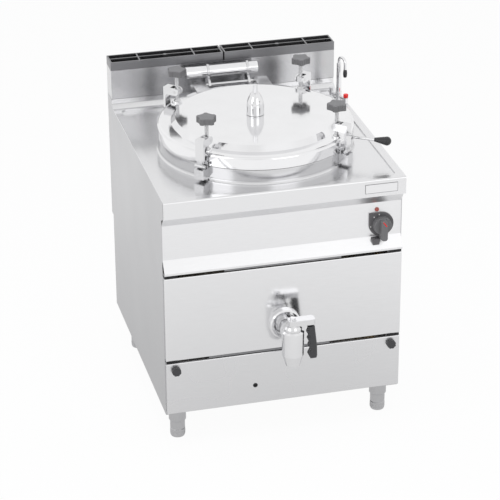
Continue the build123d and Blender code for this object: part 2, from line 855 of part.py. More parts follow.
# Lid handle: rod from a boss on the rim, tapered grip outside the worktop's edge line.
handle_z = lid_bottom + skirt_height / 2
with BuildPart() as lid_handle_rod:
    axis_plane = radial_plane(handle_angle)
    out = axis_plane.x_dir
    rod_start = lid_radius + 0.05
    rod_plane = Plane(
        (out.X * rod_start, out.Y * rod_start, handle_z), x_dir=(0, 0, 1), z_dir=(out.X, out.Y, 0)
    )
    with BuildSketch(rod_plane):
        Circle(10)
    extrude(amount=9)
    with BuildSketch(rod_plane):
        Circle(handle_radius)
    extrude(amount=handle_length + 29.9)
save(lid_handle_rod.part, "lid_handle_rod")

reach = lid_radius + handle_length
with BuildPart() as lid_handle_grip:
    with BuildSketch(axis_plane):
        with BuildLine():
            bore_z = handle_z + handle_radius + 0.02
            Polyline((reach + 30, handle_z), (reach + 30, bore_z), (reach, bore_z), (reach, bore_z + 1.5))
            widest = (reach + grip_length - grip_radius, handle_z + grip_radius)
            Line((reach, bore_z + 1.5), widest)
            RadiusArc(widest, (reach + grip_length, handle_z), grip_radius)
            Line((reach + grip_length, handle_z), (reach + 30, handle_z))
        make_face()
    revolve(axis=Axis((0, 0, handle_z), (out.X, out.Y, 0)))
save(lid_handle_grip.part, "lid_handle_grip")

# Clamps, one set per corner: screw held on the lid, nut block on the screw, arm hinged on the nut.
nut_half = arm_width / 2 - arm_plate - 0.3
with BuildPart() as clamp_nuts:
    for angle in clamp_angles.values():
        tangent = radial_plane(angle).z_dir
        centre = around(angle, screw_r, pivot_z).origin
        with BuildSketch(around(angle, screw_r, pivot_z - 9)):
            RectangleRounded(20, 2 * nut_half, 3)
        extrude(amount=18)
        with BuildSketch(Plane(centre, x_dir=(0, 0, 1), z_dir=tangent)):
            Circle(trunnion_radius)
        extrude(amount=arm_width / 2, both=True)
        with BuildSketch(around(angle, screw_r, pivot_z - 9)):
            Circle(screw_radius + thread_gap)
        extrude(amount=18, mode=Mode.SUBTRACT)
save(clamp_nuts.part, "clamp_nuts")


def clamp_hook(angle):
    """Two cheeks, a short web, the outer leg and the cross pin that goes under the jaws."""
    side = radial_plane(angle)
    half = arm_height / 2
    with BuildPart() as hook:
        with BuildSketch(side):
            with BuildLine():
                Polyline(
                    (screw_r, pivot_z + half),
                    (leg_r + leg_thick / 2, pivot_z + half),
                    (leg_r + leg_thick / 2, pin_z + 18),
                    (leg_r - leg_thick / 2, pin_z + 18),
                    (leg_r - leg_thick / 2, pivot_z - half - 6),
                    (leg_r - leg_thick / 2 - 6, pivot_z - half),
                    (screw_r, pivot_z - half),
                )
                RadiusArc((screw_r, pivot_z - half), (screw_r, pivot_z + half), half)
            make_face()
            with Locations((screw_r, pivot_z)):
                Circle(trunnion_radius + 0.06, mode=Mode.SUBTRACT)
        extrude(amount=arm_width / 2, both=True)
        with BuildSketch(side):
            with Locations((screw_r + (web_start - half) / 2 - 0.5, pivot_z)):
                Rectangle(web_start + half + 1, 4 * half)
            with Locations((screw_r + 15, pivot_z - 40)):
                Rectangle(2 * (leg_offset - 15 - leg_thick / 2), 80 - 2 * half + 2 * (half - arm_plate))
        extrude(amount=arm_width / 2 - arm_plate, both=True, mode=Mode.SUBTRACT)
        with BuildSketch(side):
            with BuildLine():
                Polyline(
                    (leg_r - leg_thick / 2, pin_z + 19),
                    (leg_r + leg_thick / 2, pin_z + 19),
                    (leg_r + leg_thick / 2, pin_z),
                    (leg_r - leg_thick / 2, pin_z),
                    close=True,
                )
            make_face()
            with Locations((leg_r, pin_z)):
                Circle(leg_thick / 2 + 2.5)
        extrude(amount=lug_width / 2 - lug_cheek - 1.5, both=True)
        with BuildSketch(side):
            with Locations((leg_r, pin_z)):
                Circle(pin_radius)
        extrude(amount=lug_width / 2 + 2, both=True)
    return hook.part


def clamp_screw(angle):
    """Spindle with a broad foot that turns in its ring on the lid."""
    with BuildPart() as screw:
        with BuildSketch(around(angle, screw_r, annulus_z + 0.3)):
            Circle(foot_radius)
        extrude(amount=5)
        with BuildSketch(around(angle, screw_r, annulus_z + 5.3)):
            Circle(foot_radius)
        extrude(amount=5, taper=45)
        with BuildSketch(around(angle, screw_r, annulus_z + 2)):
            Circle(screw_radius)
        extrude(amount=knob_rise + knob_thick - 8)
    return screw.part


def clamp_knob(angle):
    """Five-lobed knob with hollow flanks and a hub below."""
    place = around(angle, screw_r, annulus_z + knob_rise)
    with BuildPart() as knob:
        with BuildSketch(place):
            Circle(knob_radius - 6)
            with PolarLocations(knob_radius - 9, 5):
                Circle(9)
            with PolarLocations(knob_radius + 4, 5, start_angle=36):
                Circle(11.5, mode=Mode.SUBTRACT)
        extrude(amount=knob_thick)
        chamfer(knob.edges().group_by(Axis.Z)[-1], 2)
        with BuildSketch(place.offset(-5)):
            Circle(11)
        extrude(amount=6)
        with BuildSketch(place.offset(-6)):
            Circle(screw_radius + 0.02)
        extrude(amount=knob_thick, mode=Mode.SUBTRACT)
    return knob.part


for corner_name, corner_angle in clamp_angles.items():
    save(clamp_hook(corner_angle), f"clamp_hook_{corner_name}")
    save(clamp_screw(corner_angle), f"clamp_screw_{corner_name}")
    save(clamp_knob(corner_angle), f"clamp_knob_{corner_name}")

# Hinge: two upright brackets on the worktop, fixed axle, spring tube behind, arms on the lid.
hinge_gap = 0.06
with BuildPart() as hinge_brackets:
    for x in (-bracket_spread, bracket_spread):
        with BuildSketch(Plane.YZ.offset(x)):
            with BuildLine():
                Polyline(
                    (hinge_y - 14, well_floor + 4),
                    (hinge_y + 26, well_floor + 4),
                    (tube_y + tube_radius + 3, tube_z),
                    (hinge_y - 4, hinge_z + 13),
                    (hinge_y - 13, hinge_z),
                    close=True,
                )
            make_face()
            with Locations((tube_y, tube_z)):
                Circle(tube_radius + 5)
                Circle(tube_radius + 0.05, mode=Mode.SUBTRACT)
            with Locations((hinge_y, hinge_z)):
                Circle(axle_radius, mode=Mode.SUBTRACT)
        extrude(amount=bracket_plate / 2, both=True)
        with BuildSketch(Plane.XY.offset(well_floor + 0.02)):
            with Locations((x, hinge_y + 3)):
                RectangleRounded(44, 50, 6)
                with GridLocations(30, 36, 2, 2):
                    Circle(3.5, mode=Mode.SUBTRACT)
        extrude(amount=5)
save(hinge_brackets.part, "hinge_brackets")

with BuildPart() as hinge_axle:
    with BuildSketch(Plane.YZ):
        with Locations((hinge_y, hinge_z)):
            Circle(axle_radius)
    extrude(amount=knuckle_spread + knuckle_length / 2 + 4, both=True)
save(hinge_axle.part, "hinge_axle")

tube_cap_left = 23.0
tube_cap_right = 28.0
with BuildPart() as spring_tube:
    with BuildSketch(Plane.YZ.offset(-tube_left)):
        with Locations((tube_y, tube_z)):
            Circle(tube_radius)
    extrude(amount=tube_left + tube_right)
    with BuildSketch(Plane.YZ.offset(-tube_left)):
        with Locations((tube_y, tube_z)):
            Circle(tube_radius - 3)
    extrude(amount=tube_left + tube_right, mode=Mode.SUBTRACT)
    for x, length in ((-tube_left, tube_cap_left), (tube_right - tube_cap_right, tube_cap_right)):
        with BuildSketch(Plane.YZ.offset(x)):
            with Locations((tube_y, tube_z)):
                Circle(tube_radius + 0.8)
                Circle(4, mode=Mode.SUBTRACT)
        extrude(amount=length)
save(spring_tube.part, "spring_tube")

arm_start = annulus_inner - 8
lid_arm_thick = 3.8
with BuildPart() as lid_arms:
    for x in (-knuckle_spread, knuckle_spread):
        with BuildSketch(Plane.YZ.offset(x)):
            with BuildLine():
                Polyline(
                    (hinge_y, hinge_z + knuckle_radius),
                    (hinge_y - 40, annulus_z + lid_arm_thick),
                    (arm_start, annulus_z + lid_arm_thick),
                    (arm_start, annulus_z + 0.02),
                    (hinge_y - 42, annulus_z + 0.02),
                    (hinge_y - 6, hinge_z - 6),
                    close=True,
                )
            make_face()
            with Locations((hinge_y, hinge_z)):
                Circle(knuckle_radius)
                Circle(axle_radius + hinge_gap, mode=Mode.SUBTRACT)
        extrude(amount=knuckle_length / 2, both=True)
save(lid_arms.part, "lid_arms")

# Water tap: column on a flange with two side valves, supply pipes down and out at the back.
tap_out = (math.cos(math.radians(tap_angle)), math.sin(math.radians(tap_angle)))
hot_place = (tap_x + tap_spread * tap_out[0], tap_y + tap_spread * tap_out[1])
cold_place = (tap_x - tap_spread * tap_out[0], tap_y - tap_spread * tap_out[1])
column_radius = 9.5
column_top = worktop_height + 136
with BuildPart() as water_tap:
    with BuildSketch(Plane.XY.offset(worktop_height + 0.02)):
        with Locations((tap_x, tap_y)):
            Circle(15)
    extrude(amount=6)
    with BuildSketch(Plane.XY.offset(worktop_height)):
        with Locations((tap_x, tap_y)):
            Circle(column_radius + 1.5)
    extrude(amount=30)
    with BuildSketch(Plane.XY.offset(worktop_height + 20)):
        with Locations((tap_x, tap_y)):
            Circle(column_radius)
    extrude(amount=column_top - worktop_height - 20, taper=0.8)
    with BuildSketch(Plane.XY.offset(column_top - 30)):
        with Locations((tap_x, tap_y)):
            Circle(4.06)
    extrude(amount=40, mode=Mode.SUBTRACT)
    for place in (hot_place, cold_place):
        with BuildLine() as branch:
            Line((tap_x, tap_y, worktop_height + 12), (*place, worktop_height + 12))
        with BuildSketch(Plane(branch.line @ 0, z_dir=branch.line % 0)):
            Circle(6)
        sweep(path=branch.line)
        with BuildSketch(Plane.XY.offset(worktop_height + 4)):
            with Locations(place):
                Circle(8.5)
        extrude(amount=16)
save(water_tap.part, "water_tap")

with BuildPart() as water_spout:
    neck_radius = 18.0
    with BuildSketch(Plane.XY.offset(column_top - 20)):
        with Locations((tap_x, tap_y)):
            Circle(4)
    extrude(amount=20)
    with BuildLine() as neck_path:
        rise = Line((tap_x, tap_y, column_top), (tap_x, tap_y, column_top + 6))
        over_x = neck_radius * tap_out[0]
        over_y = neck_radius * tap_out[1]
        end = (tap_x + 2 * over_x, tap_y + 2 * over_y, column_top + 6)
        top = (tap_x + over_x, tap_y + over_y, column_top + 6 + neck_radius)
        ThreePointArc(rise @ 1, top, end)
        Line(end, (end[0], end[1], column_top - 14))
    with BuildSketch(Plane.XY.offset(column_top)):
        with Locations((tap_x, tap_y)):
            Circle(5)
    sweep(path=neck_path.line)
save(water_spout.part, "water_spout")

with BuildPart() as spout_nozzle:
    nozzle_place = (tap_x + 2 * neck_radius * tap_out[0], tap_y + 2 * neck_radius * tap_out[1])
    with BuildSketch(Plane(nozzle_place + (0,), x_dir=(1, 0, 0), z_dir=(0, -1, 0))):
        with BuildLine():
            Polyline((3, column_top - 14), (5, column_top - 14))
            ThreePointArc((5, column_top - 14), (7.2, column_top - 28), (5.5, column_top - 42))
            Polyline((5.5, column_top - 42), (3, column_top - 42), (3, column_top - 14))
        make_face()
    revolve(axis=Axis(nozzle_place + (0,), (0, 0, 1)))
save(spout_nozzle.part, "spout_nozzle")

for name, place in (("hot_tap_knob", hot_place), ("cold_tap_knob", cold_place)):
    with BuildPart() as tap_knob:
        with BuildSketch(Plane.XY.offset(worktop_height + 20.3)):
            with Locations(place):
                Circle(8)
        extrude(amount=3)
        with BuildSketch(Plane.XY.offset(worktop_height + 23.3)):
            with Locations(place):
                Circle(8.5)
                with PolarLocations(9.5, 8, start_angle=22.5):
                    Circle(1.8, mode=Mode.SUBTRACT)
        extrude(amount=9)
        chamfer(tap_knob.edges().group_by(Axis.Z)[-1], 0.4)
    save(tap_knob.part, name)

# Gas train: valve body behind the fascia, feed to the burner, inlet run down and out at the back.
spindle_radius = 5.0
spindle_gap = 0.06
valve_depth = 62.0
pipe_radius = 10.6
inlet_x = knob_x + 40
inlet_z = 300.0
with BuildPart() as gas_train:
    with BuildSketch(Plane.XZ.offset(-fascia_y - 6)):
        with Locations((knob_x, knob_height)):
            RectangleRounded(52, 64, 6)
    extrude(amount=-valve_depth)
    with BuildLine() as inlet_path:
        FilletPolyline(
            (knob_x + 20, feed_start[1], knob_height - 10),
            (inlet_x, feed_start[1], knob_height - 10),
            (inlet_x, step_y - 50, knob_height - 10),
            (inlet_x, step_y - 50, inlet_z),
            (half_width - 70, step_y - 50, inlet_z),
            (half_width - 70, rear_y, inlet_z),
            radius=14,
        )
    with BuildSketch(Plane(inlet_path.line @ 0, z_dir=inlet_path.line % 0)):
        Circle(pipe_radius)
    sweep(path=inlet_path.line)
    with BuildLine() as feed_path:
        FilletPolyline(
            (*feed_start, knob_height - 20),
            (*feed_start, burner_z),
            (*feed_end, burner_z),
            radius=20,
        )
    with BuildSketch(Plane(feed_path.line @ 0, z_dir=feed_path.line % 0)):
        Circle(7)
    sweep(path=feed_path.line)
    with BuildSketch(Plane.XZ.offset(-fascia_y)):
        with Locations((knob_x, knob_height)):
            Circle(spindle_radius + spindle_gap)
    extrude(amount=-30, mode=Mode.SUBTRACT)
save(gas_train.part, "gas_train")

# Dial plate: round, with one quarter squared off up and to the left.
dial_thick = 6.0
with BuildPart() as knob_bezel:
    with BuildSketch(Plane.XZ.offset(-fascia_y + 0.02)):
        with Locations((knob_x, knob_height)):
            Circle(dial_radius)
        with Locations((knob_x - dial_radius / 2, knob_height + dial_radius / 2)):
            Rectangle(dial_radius, dial_radius)
    extrude(amount=dial_thick)
    chamfer(knob_bezel.faces().sort_by(Axis.Y)[0].edges(), 1.5)
    with BuildSketch(Plane.XZ.offset(-fascia_y)):
        with Locations((knob_x, knob_height)):
            Circle(8)
    extrude(amount=dial_thick + 2, mode=Mode.SUBTRACT)
save(knob_bezel.part, "knob_bezel")

# Gas knob: round cap, proud grip bar longer below the centre, spindle into the valve.
cap_y = fascia_y - dial_thick - 0.5
cap_depth = 19.0
bar_width = 23.0
bar_up = 28.0
bar_down = 45.0
with BuildPart() as control_knob:
    with BuildSketch(Plane.XZ.offset(-cap_y)):
        with Locations((knob_x, knob_height)):
            Circle(cap_radius)
    extrude(amount=cap_depth, taper=4)
    fillet(control_knob.edges().sort_by(Axis.Y)[0], 3)
    with BuildSketch(Plane.XZ.offset(-cap_y + cap_depth - 3)):
        with Locations((knob_x, knob_height + (bar_up - bar_down) / 2)):
            RectangleRounded(bar_width, bar_up + bar_down, 9)
    extrude(amount=23, taper=3)
    fillet(control_knob.faces().sort_by(Axis.Y)[0].edges(), 2)
    with BuildSketch(Plane.XZ.offset(-cap_y)):
        with Locations((knob_x, knob_height)):
            Circle(spindle_radius)
    extrude(amount=-30)
save(control_knob.part, "control_knob")

# Pilot window: domed lens with a body through the fascia.
with BuildPart() as pilot_light:
    with BuildSketch(Plane.XZ.offset(-fascia_y + 0.05)):
        with Locations((pilot_x, pilot_z)):
            Circle(pilot_radius)
    extrude(amount=4)
    fillet(pilot_light.edges().sort_by(Axis.Y)[0], 3)
    with BuildSketch(Plane.XZ.offset(-fascia_y + 0.05)):
        with Locations((pilot_x, pilot_z)):
            Circle(pilot_radius - 2)
    extrude(amount=-20)
save(pilot_light.part, "pilot_light")

# Igniter button through the sloping apron, with a stop plate behind it.
with BuildPart() as igniter_button:
    with BuildSketch(Plane.XZ.offset(-igniter_face)):
        add(wedge(0))
    extrude(amount=-26)
    fillet(igniter_button.faces().sort_by(Axis.Y)[0].edges(), 1.5)
    with BuildSketch(Plane.XZ.offset(-side_front - 4)):
        with Locations((igniter_x, igniter_z)):
            Rectangle(igniter_top + 6, igniter_tall + 6)
    extrude(amount=-3)
save(igniter_button.part, "igniter_button")

# Legs: fixed sockets under the frame and feet that slide in them.
socket_foot = 62.0
socket_gap = 0.05
groove_z = 31.0
with BuildPart() as leg_sockets:
    for x, y in foot_places.values():
        with BuildSketch(Plane.XY.offset(socket_foot)):
            with Locations((x, y)):
                Circle(socket_radius)
        extrude(amount=leg_height - 0.02 - socket_foot)
    chamfer(leg_sockets.edges().group_by(Axis.Z)[0], 3)
    for x, y in foot_places.values():
        with BuildSketch(Plane.XY.offset(socket_foot)):
            with Locations((x, y)):
                Circle(toe_radius + socket_gap)
        extrude(amount=leg_height - 4 - socket_foot, mode=Mode.SUBTRACT)
save(leg_sockets.part, "leg_sockets")

for corner_name, (x, y) in foot_places.items():
    with BuildPart() as foot:
        with BuildSketch(Plane(origin=(x, y, 0), x_dir=(1, 0, 0), z_dir=(0, -1, 0))):
            with BuildLine():
                Polyline(
                    (0, 0),
                    (toe_radius - 7, 0),
                    (toe_radius - 2, 2),
                    (toe_radius, 7),
                    (toe_radius, groove_z - 1.5),
                    (toe_radius - 1.5, groove_z),
                    (toe_radius, groove_z + 1.5),
                    (toe_radius, leg_height - 14),
                    (0, leg_height - 14),
                    close=True,
                )
            make_face()
        revolve(axis=Axis((x, y, 0), (0, 0, 1)))
    save(foot.part, f"foot_{corner_name}")

# Star-headed thumb screws that hold the lower panel to the side flanges.
thumb_radius = 15.0
for name, side in (("thumb_knob_left", -1), ("thumb_knob_right", 1)):
    with BuildPart() as thumb_knob:
        with BuildSketch(Plane.XZ.offset(-door_y + 0.3)):
            with Locations((side * thumb_x, thumb_z)):
                Circle(thumb_radius)
                with PolarLocations(thumb_radius + 1.5, 8):
                    Circle(3.2, mode=Mode.SUBTRACT)
        extrude(amount=13)
        with BuildSketch(Plane.XZ.offset(-door_y + 0.3)):
            with Locations((side * thumb_x, thumb_z)):
                Circle(thumb_stud)
        extrude(amount=-34)
    save(thumb_knob.part, name)
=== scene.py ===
import bpy
import bmesh
import math
from mathutils import Matrix, Vector


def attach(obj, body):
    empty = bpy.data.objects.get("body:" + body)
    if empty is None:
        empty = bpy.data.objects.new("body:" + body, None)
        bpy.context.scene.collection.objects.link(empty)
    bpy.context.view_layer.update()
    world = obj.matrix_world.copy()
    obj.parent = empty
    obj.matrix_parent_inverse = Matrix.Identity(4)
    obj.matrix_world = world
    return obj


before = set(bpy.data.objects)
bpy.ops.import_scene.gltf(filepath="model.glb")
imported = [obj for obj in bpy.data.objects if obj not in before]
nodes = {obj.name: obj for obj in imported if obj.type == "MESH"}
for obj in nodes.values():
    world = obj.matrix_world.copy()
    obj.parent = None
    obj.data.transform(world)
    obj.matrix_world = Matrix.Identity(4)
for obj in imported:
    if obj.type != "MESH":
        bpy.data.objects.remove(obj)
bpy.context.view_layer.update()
print("frame loaded:", len(nodes), "nodes")

# camera: a little left of the front, looking down
cameraValues = {
    "azimuth": -14.293,
    "elevation": 25.892,
    "roll": -0.006,
    "place": (-1.6211, -6.2818, 3.6541),
    "lens": 152.2,
    "sensor": 36,
    "near": 0.1,
    "far": 60,
}


def makeCamera(values):
    a = math.radians(values["azimuth"])
    e = math.radians(values["elevation"])
    back = Vector((math.sin(a) * math.cos(e), -math.cos(a) * math.cos(e), math.sin(e)))
    data = bpy.data.cameras.new("camera")
    data.lens = values["lens"]
    data.sensor_width = values["sensor"]
    data.clip_start = values["near"]
    data.clip_end = values["far"]
    camera = bpy.data.objects.new("camera", data)
    bpy.context.scene.collection.objects.link(camera)
    camera.rotation_mode = "QUATERNION"
    camera.location = values["place"]
    turn = Matrix.Rotation(values["roll"], 3, "Z")
    look = (-back).to_track_quat("-Z", "Y").to_matrix()
    camera.rotation_quaternion = (look @ turn).to_quaternion()
    bpy.context.scene.camera = camera


makeCamera(cameraValues)
print("camera set")

# room: white to the camera, softly graded to everything else
roomValues = {
    "shown": (1.0, 1.0, 1.0),
    "fill": (0.93, 0.96, 1.0),
    "fillStrength": 0.38,
    "glossLow": 0.90,
    "glossHigh": 1.0,
    "cloudShape": (1.2, 1.2, 0.8),
    "cloudScale": 1.6,
    "cloudDetail": 1.0,
    "cloudLow": 0.38,
    "cloudHigh": 0.58,
}


def makeRoom(values):
    world = bpy.data.worlds.new("room")
    bpy.context.scene.world = world
    world.use_nodes = True
    tree = world.node_tree
    tree.nodes.clear()
    out = tree.nodes.new("ShaderNodeOutputWorld")
    ray = tree.nodes.new("ShaderNodeLightPath")
    shown = tree.nodes.new("ShaderNodeBackground")
    shown.inputs["Color"].default_value = (*values["shown"], 1)
    fill = tree.nodes.new("ShaderNodeBackground")
    fill.inputs["Color"].default_value = (*values["fill"], 1)
    fill.inputs["Strength"].default_value = values["fillStrength"]
    gloss = tree.nodes.new("ShaderNodeBackground")
    gloss.inputs["Color"].default_value = (1, 1, 1, 1)
    place = tree.nodes.new("ShaderNodeTexCoord")
    turn = tree.nodes.new("ShaderNodeMapping")
    turn.inputs["Scale"].default_value = values["cloudShape"]
    cloud = tree.nodes.new("ShaderNodeTexNoise")
    cloud.inputs["Scale"].default_value = values["cloudScale"]
    cloud.inputs["Detail"].default_value = values["cloudDetail"]
    ramp = tree.nodes.new("ShaderNodeMapRange")
    ramp.inputs["From Min"].default_value = values["cloudLow"]
    ramp.inputs["From Max"].default_value = values["cloudHigh"]
    ramp.inputs["To Min"].default_value = values["glossLow"]
    ramp.inputs["To Max"].default_value = values["glossHigh"]
    tree.links.new(place.outputs["Generated"], turn.inputs["Vector"])
    tree.links.new(turn.outputs["Vector"], cloud.inputs["Vector"])
    tree.links.new(cloud.outputs["Fac"], ramp.inputs["Value"])
    tree.links.new(ramp.outputs["Result"], gloss.inputs["Strength"])
    mixGloss = tree.nodes.new("ShaderNodeMixShader")
    tree.links.new(ray.outputs["Is Glossy Ray"], mixGloss.inputs["Fac"])
    tree.links.new(fill.outputs["Background"], mixGloss.inputs[1])
    tree.links.new(gloss.outputs["Background"], mixGloss.inputs[2])
    clear = tree.nodes.new("ShaderNodeMath")
    clear.operation = "MAXIMUM"
    tree.links.new(ray.outputs["Is Camera Ray"], clear.inputs[0])
    tree.links.new(ray.outputs["Is Transmission Ray"], clear.inputs[1])
    mixShown = tree.nodes.new("ShaderNodeMixShader")
    tree.links.new(clear.outputs["Value"], mixShown.inputs["Fac"])
    tree.links.new(mixGloss.outputs["Shader"], mixShown.inputs[1])
    tree.links.new(shown.outputs["Background"], mixShown.inputs[2])
    tree.links.new(mixShown.outputs["Shader"], out.inputs["Surface"])


makeRoom(roomValues)
scene = bpy.context.scene
scene.view_settings.view_transform = "Standard"
scene.view_settings.look = "None"
scene.view_settings.exposure = 0
scene.view_settings.gamma = 1

# lamps: broad soft boxes above, left and in front
lampValues = {
    "topBox": {"place": (-0.4, -0.6, 4.2), "aim": (0, 0, 0.5), "size": 3.2, "power": 95, "mirrored": False},
    "leftBox": {"place": (-3.6, -2.4, 2.4), "aim": (0, 0, 0.6), "size": 2.4, "power": 14, "mirrored": True},
    "frontBox": {"place": (1.6, -4.6, 2.2), "aim": (0, 0, 0.6), "size": 2.6, "power": 12, "mirrored": True},
}


def makeLamps(values):
    for name, one in values.items():
        data = bpy.data.lights.new(name, "AREA")
        data.shape = "SQUARE"
        data.size = one["size"]
        data.energy = one["power"]
        lamp = bpy.data.objects.new(name, data)
        bpy.context.scene.collection.objects.link(lamp)
        lamp.visible_glossy = one["mirrored"]
        lamp.location = one["place"]
        aim = Vector(one["aim"]) - Vector(one["place"])
        lamp.rotation_mode = "QUATERNION"
        lamp.rotation_quaternion = aim.to_track_quat("-Z", "Y")


makeLamps(lampValues)
print("light set")


def startMaterial(name, color, metallic, roughness):
    material = bpy.data.materials.new(name)
    material.use_nodes = True
    tree = material.node_tree
    surface = tree.nodes["Principled BSDF"]
    surface.inputs["Base Color"].default_value = (*color, 1)
    surface.inputs["Metallic"].default_value = metallic
    surface.inputs["Roughness"].default_value = roughness
    return material, tree, surface


def noiseOf(tree, scale, detail, stretch=(1, 1, 1)):
    place = tree.nodes.new("ShaderNodeTexCoord")
    turn = tree.nodes.new("ShaderNodeMapping")
    turn.inputs["Scale"].default_value = stretch
    noise = tree.nodes.new("ShaderNodeTexNoise")
    noise.inputs["Scale"].default_value = scale
    noise.inputs["Detail"].default_value = detail
    tree.links.new(place.outputs["Object"], turn.inputs["Vector"])
    tree.links.new(turn.outputs["Vector"], noise.inputs["Vector"])
    return noise


noiseRange = (0.1, 0.9)


def spread(tree, noise, low, high):
    ramp = tree.nodes.new("ShaderNodeMapRange")
    ramp.inputs["From Min"].default_value = noiseRange[0]
    ramp.inputs["From Max"].default_value = noiseRange[1]
    ramp.inputs["To Min"].default_value = low
    ramp.inputs["To Max"].default_value = high
    tree.links.new(noise.outputs["Fac"], ramp.inputs["Value"])
    return ramp.outputs["Result"]


def tint(tree, noise, color, share):
    mix = tree.nodes.new("ShaderNodeMix")
    mix.data_type = "RGBA"
    mix.inputs["A"].default_value = (*[c * (1 - share) for c in color], 1)
    mix.inputs["B"].default_value = (*[min(1, c * (1 + share)) for c in color], 1)
    tree.links.new(noise.outputs["Fac"], mix.inputs["Factor"])
    return mix.outputs["Result"]


def bumpOf(tree, surface, noise, strength, distance):
    bump = tree.nodes.new("ShaderNodeBump")
    bump.inputs["Strength"].default_value = strength
    bump.inputs["Distance"].default_value = distance
    tree.links.new(noise.outputs["Fac"], bump.inputs["Height"])
    tree.links.new(bump.outputs["Normal"], surface.inputs["Normal"])


# surfaces: noise as scale and detail, roughness as a share of its own value, bump as strength and reach
grainOf = {"x": (0.03, 1, 1), "z": (1, 1, 0.03), "none": (1, 1, 1)}
steelGrain = {
    "fine": (900, 3),
    "broad": (3.5, 2),
    "streak": 0.05,
    "rough": (0.85, 1.2),
    "bump": (0.015, 0.0004),
}
polishGrain = {
    "broad": (14, 2),
    "smear": (60, 3),
    "tint": 0.03,
    "rough": (0.7, 1.5),
    "reach": 0.003,
}
plasticGrain = {
    "fine": (500, 2),
    "broad": (30, 2),
    "tint": 0.12,
    "rough": (0.85, 1.15),
    "bump": (0.12, 0.0003),
}


def steel(name, color, roughness, grain):
    material, tree, surface = startMaterial(name, color, 1.0, roughness)
    fine = noiseOf(tree, *steelGrain["fine"], grainOf[grain])
    broad = noiseOf(tree, *steelGrain["broad"])
    low, high = steelGrain["rough"]
    tree.links.new(tint(tree, fine, color, steelGrain["streak"]), surface.inputs["Base Color"])
    tree.links.new(spread(tree, broad, roughness * low, roughness * high), surface.inputs["Roughness"])
    bumpOf(tree, surface, fine, *steelGrain["bump"])
    return material


def polished(name, color, roughness, wave):
    material, tree, surface = startMaterial(name, color, 1.0, roughness)
    broad = noiseOf(tree, *polishGrain["broad"])
    smear = noiseOf(tree, *polishGrain["smear"])
    low, high = polishGrain["rough"]
    tree.links.new(tint(tree, broad, color, polishGrain["tint"]), surface.inputs["Base Color"])
    tree.links.new(spread(tree, smear, roughness * low, roughness * high), surface.inputs["Roughness"])
    bumpOf(tree, surface, broad, wave, polishGrain["reach"])
    return material


def plastic(name, color, roughness):
    material, tree, surface = startMaterial(name, color, 0.0, roughness)
    fine = noiseOf(tree, *plasticGrain["fine"])
    broad = noiseOf(tree, *plasticGrain["broad"])
    low, high = plasticGrain["rough"]
    tree.links.new(tint(tree, broad, color, plasticGrain["tint"]), surface.inputs["Base Color"])
    tree.links.new(spread(tree, fine, roughness * low, roughness * high), surface.inputs["Roughness"])
    bumpOf(tree, surface, fine, *plasticGrain["bump"])
    return material


steelValues = {
    "steelTop": ((0.79, 0.79, 0.80), 0.20, "x"),
    # side panels: the same steel as the front, base colour darkened as painted shade
    "steelSideShaded": ((0.55, 0.55, 0.56), 0.34, "z"),
    "steelBack": ((0.60, 0.60, 0.61), 0.42, "z"),
    "steelFascia": ((0.83, 0.83, 0.84), 0.30, "x"),
    "steelDoor": ((0.80, 0.80, 0.81), 0.13, "x"),
    "steelLower": ((0.76, 0.76, 0.77), 0.26, "x"),
    "steelFlue": ((0.60, 0.60, 0.61), 0.22, "x"),
    "steelFrame": ((0.42, 0.42, 0.43), 0.50, "none"),
    "steelPan": ((0.66, 0.66, 0.67), 0.16, "none"),
    "steelHinge": ((0.72, 0.72, 0.73), 0.22, "none"),
    "steelInner": ((0.40, 0.39, 0.38), 0.55, "none"),
    # legs and feet: steel with its base colour darkened as painted shade under the cabinet
    "steelLegShaded": ((0.54, 0.54, 0.55), 0.30, "z"),
    "steelScrew": ((0.70, 0.70, 0.71), 0.20, "none"),
}
polishValues = {
    "polishLid": ((0.87, 0.87, 0.88), 0.09, 0.015),
    "polishClamp": ((0.76, 0.76, 0.77), 0.12, 0.08),
    "polishTube": ((0.84, 0.84, 0.85), 0.10, 0.01),
    "polishValve": ((0.82, 0.82, 0.83), 0.09, 0.03),
    "polishBell": ((0.80, 0.80, 0.81), 0.05, 0.02),
    "polishTap": ((0.84, 0.84, 0.85), 0.07, 0.02),
}
plasticValues = {
    "plasticGrip": ((0.050, 0.050, 0.054), 0.42),
    "plasticKnob": ((0.180, 0.178, 0.184), 0.50),
    "plasticDial": ((0.120, 0.116, 0.122), 0.46),
    "plasticHandle": ((0.028, 0.028, 0.030), 0.22),
    "plasticRed": ((0.90, 0.012, 0.010), 0.22),
    "markWhite": ((0.80, 0.80, 0.78), 0.40),
    # black used only as painted shade: the gap ends, the disc in the lower panel's hole, the strainer's
    # hole dots
    "shadeBlack": ((0.012, 0.012, 0.013), 0.80),
    "rubberSeal": ((0.55, 0.55, 0.52), 0.60),
    "lagFibre": ((0.62, 0.58, 0.46), 0.85),
    "ironDark": ((0.055, 0.055, 0.058), 0.55),
}
look = {}
for name, (color, roughness, grain) in steelValues.items():
    look[name] = steel(name, color, roughness, grain)
for name, (color, roughness, wave) in polishValues.items():
    look[name] = polished(name, color, roughness, wave)
for name, (color, roughness) in plasticValues.items():
    look[name] = plastic(name, color, roughness)
look["brassGas"] = polished("brassGas", (0.62, 0.44, 0.18), 0.32, 0.05)
look["steelGrille"] = steel("steelGrille", (0.26, 0.26, 0.27), 0.36, "x")

lensValues = {
    "color": (0.62, 0.10, 0.07),
    "rough": 0.12,
    "clear": 0.25,
    "coat": 0.6,
    "facet": (260, 1),
    "tint": 0.2,
}


def makeLens(values):
    material, tree, surface = startMaterial("lensRed", values["color"], 0.0, values["rough"])
    surface.inputs["Transmission Weight"].default_value = values["clear"]
    surface.inputs["Coat Weight"].default_value = values["coat"]
    facet = noiseOf(tree, *values["facet"])
    tree.links.new(tint(tree, facet, values["color"], values["tint"]), surface.inputs["Base Color"])
    return material


look["lensRed"] = makeLens(lensValues)

